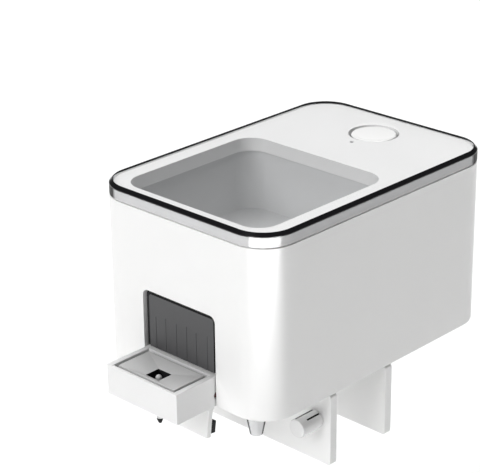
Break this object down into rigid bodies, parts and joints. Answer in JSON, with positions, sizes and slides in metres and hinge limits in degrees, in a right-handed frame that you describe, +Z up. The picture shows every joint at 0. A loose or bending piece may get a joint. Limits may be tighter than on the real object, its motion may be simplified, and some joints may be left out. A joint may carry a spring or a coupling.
{
  "type": "automatic fish feeder",
  "caption": "Box-shaped fish feeder that clamps on a tank rim: clear lid over a hopper, sliding dosing drawer in front, push button on top, rim clamp below.",
  "frame": {"origin": "centre of the flat rim seat: the underside of the housing, midway between the two clamp plates", "axes": "+Z up; +Y from the dosing drawer at the front to the rear; +X to the right as seen from the front"},
  "size_m": [0.09, 0.1524, 0.1055],
  "materials": {
    "white_abs": "satin white moulding",
    "soft_white_abs": "matt off-white moulding",
    "clear_acrylic": "polished clear",
    "black_rubber": "matt",
    "white_silicone": "matt",
    "dark_silicone": "matt",
    "red_plastic": "satin",
    "steel": "bright",
    "brass": "satin",
    "natural_pom": "natural",
    "circuit_board": "solder mask",
    "black_plastic": "matt"
  },
  "bodies": {
    "housing": {"body_shell": "white_abs", "top_deck": "white_abs", "base_plate": "white_abs", "button_well": "white_abs", "clamp_plate_front": "white_abs", "clamp_plate_rear": "white_abs", "hopper": "soft_white_abs", "light_pipe": "clear_acrylic", "air_nipple": "clear_acrylic", "rim_seal": "white_silicone", "slit_curtain": "dark_silicone", "motor_can": "steel", "usb_socket": "steel", "wifi_module": "steel", "button_spring": "steel", "base_screw_1": "steel", "base_screw_2": "steel", "base_screw_3": "steel", "base_screw_4": "steel", "bracket_screw_1": "steel", "bracket_screw_2": "steel", "board_screw_1": "steel", "board_screw_2": "steel", "clamp_plate_screw_1": "steel", "clamp_plate_screw_2": "steel", "clamp_plate_screw_3": "steel", "clamp_plate_screw_4": "steel", "gearbox_case": "brass", "guide_rail_left": "natural_pom", "guide_rail_right": "natural_pom", "motor_bracket": "natural_pom", "status_led": "natural_pom", "main_board": "circuit_board", "button_board": "circuit_board", "position_sensor": "black_plastic", "tact_switch": "black_plastic"},
    "lid": {"lid_cover": "clear_acrylic"},
    "drawer": {"drawer_box": "white_abs", "drawer_dish": "soft_white_abs", "drop_pin": "soft_white_abs", "drop_pin_tip": "black_rubber", "drawer_rack": "natural_pom", "stop_plug": "red_plastic", "hanging_tab": "white_abs", "hanging_tab_pad": "black_rubber"},
    "pinion": {"drive_pinion": "natural_pom", "gearbox_shaft": "steel"},
    "button": {"button_cap": "white_abs", "switch_plunger": "black_plastic"},
    "tip_left": {"clamp_tip_left": "black_rubber"},
    "screw_left": {"thumb_screw_left": "white_abs"},
    "tip_right": {"clamp_tip_right": "black_rubber"},
    "screw_right": {"thumb_screw_right": "white_abs"}
  },
  "joints": [
    {"name": "drawer_slide", "type": "slide", "parent": "housing", "child": "drawer", "axis": [0, 1, 0], "range_m": [0, 0.02]},
    {"name": "pinion_spin", "type": "hinge", "parent": "housing", "child": "pinion", "pos_m": [-0.0045, 0.0023, 0.02012], "axis": [1, 0, 0], "range_deg": [0, 130]},
    {"name": "lid_lift", "type": "slide", "parent": "housing", "child": "lid", "axis": [0, 0, 1], "range_m": [0, 0.03]},
    {"name": "button_press", "type": "slide", "parent": "housing", "child": "button", "axis": [0, 0, -1], "range_m": [0, 0.0008], "stiffness_N_per_m": 400, "springref_m": -0.0008, "deforming": ["button_spring"]},
    {"name": "clamp_travel_left", "type": "slide", "parent": "housing", "child": "tip_left", "axis": [0, -1, 0], "range_m": [0, 0.002]},
    {"name": "thumb_screw_turn_left", "type": "hinge", "parent": "tip_left", "child": "screw_left", "pos_m": [-0.0378, -0.0183, -0.0122], "axis": [0, -1, 0], "range_deg": [0, 576]},
    {"name": "clamp_travel_right", "type": "slide", "parent": "housing", "child": "tip_right", "axis": [0, -1, 0], "range_m": [0, 0.002]},
    {"name": "thumb_screw_turn_right", "type": "hinge", "parent": "tip_right", "child": "screw_right", "pos_m": [0.0378, -0.0183, -0.0122], "axis": [0, -1, 0], "range_deg": [0, 576]}
  ],
  "couplings": [
    {"joint": "pinion_spin", "follows": "drawer_slide", "rad_per_m": 111.11},
    {"joint": "thumb_screw_turn_left", "follows": "clamp_travel_left", "rad_per_m": 5026.5},
    {"joint": "thumb_screw_turn_right", "follows": "clamp_travel_right", "rad_per_m": 5026.5}
  ]
}
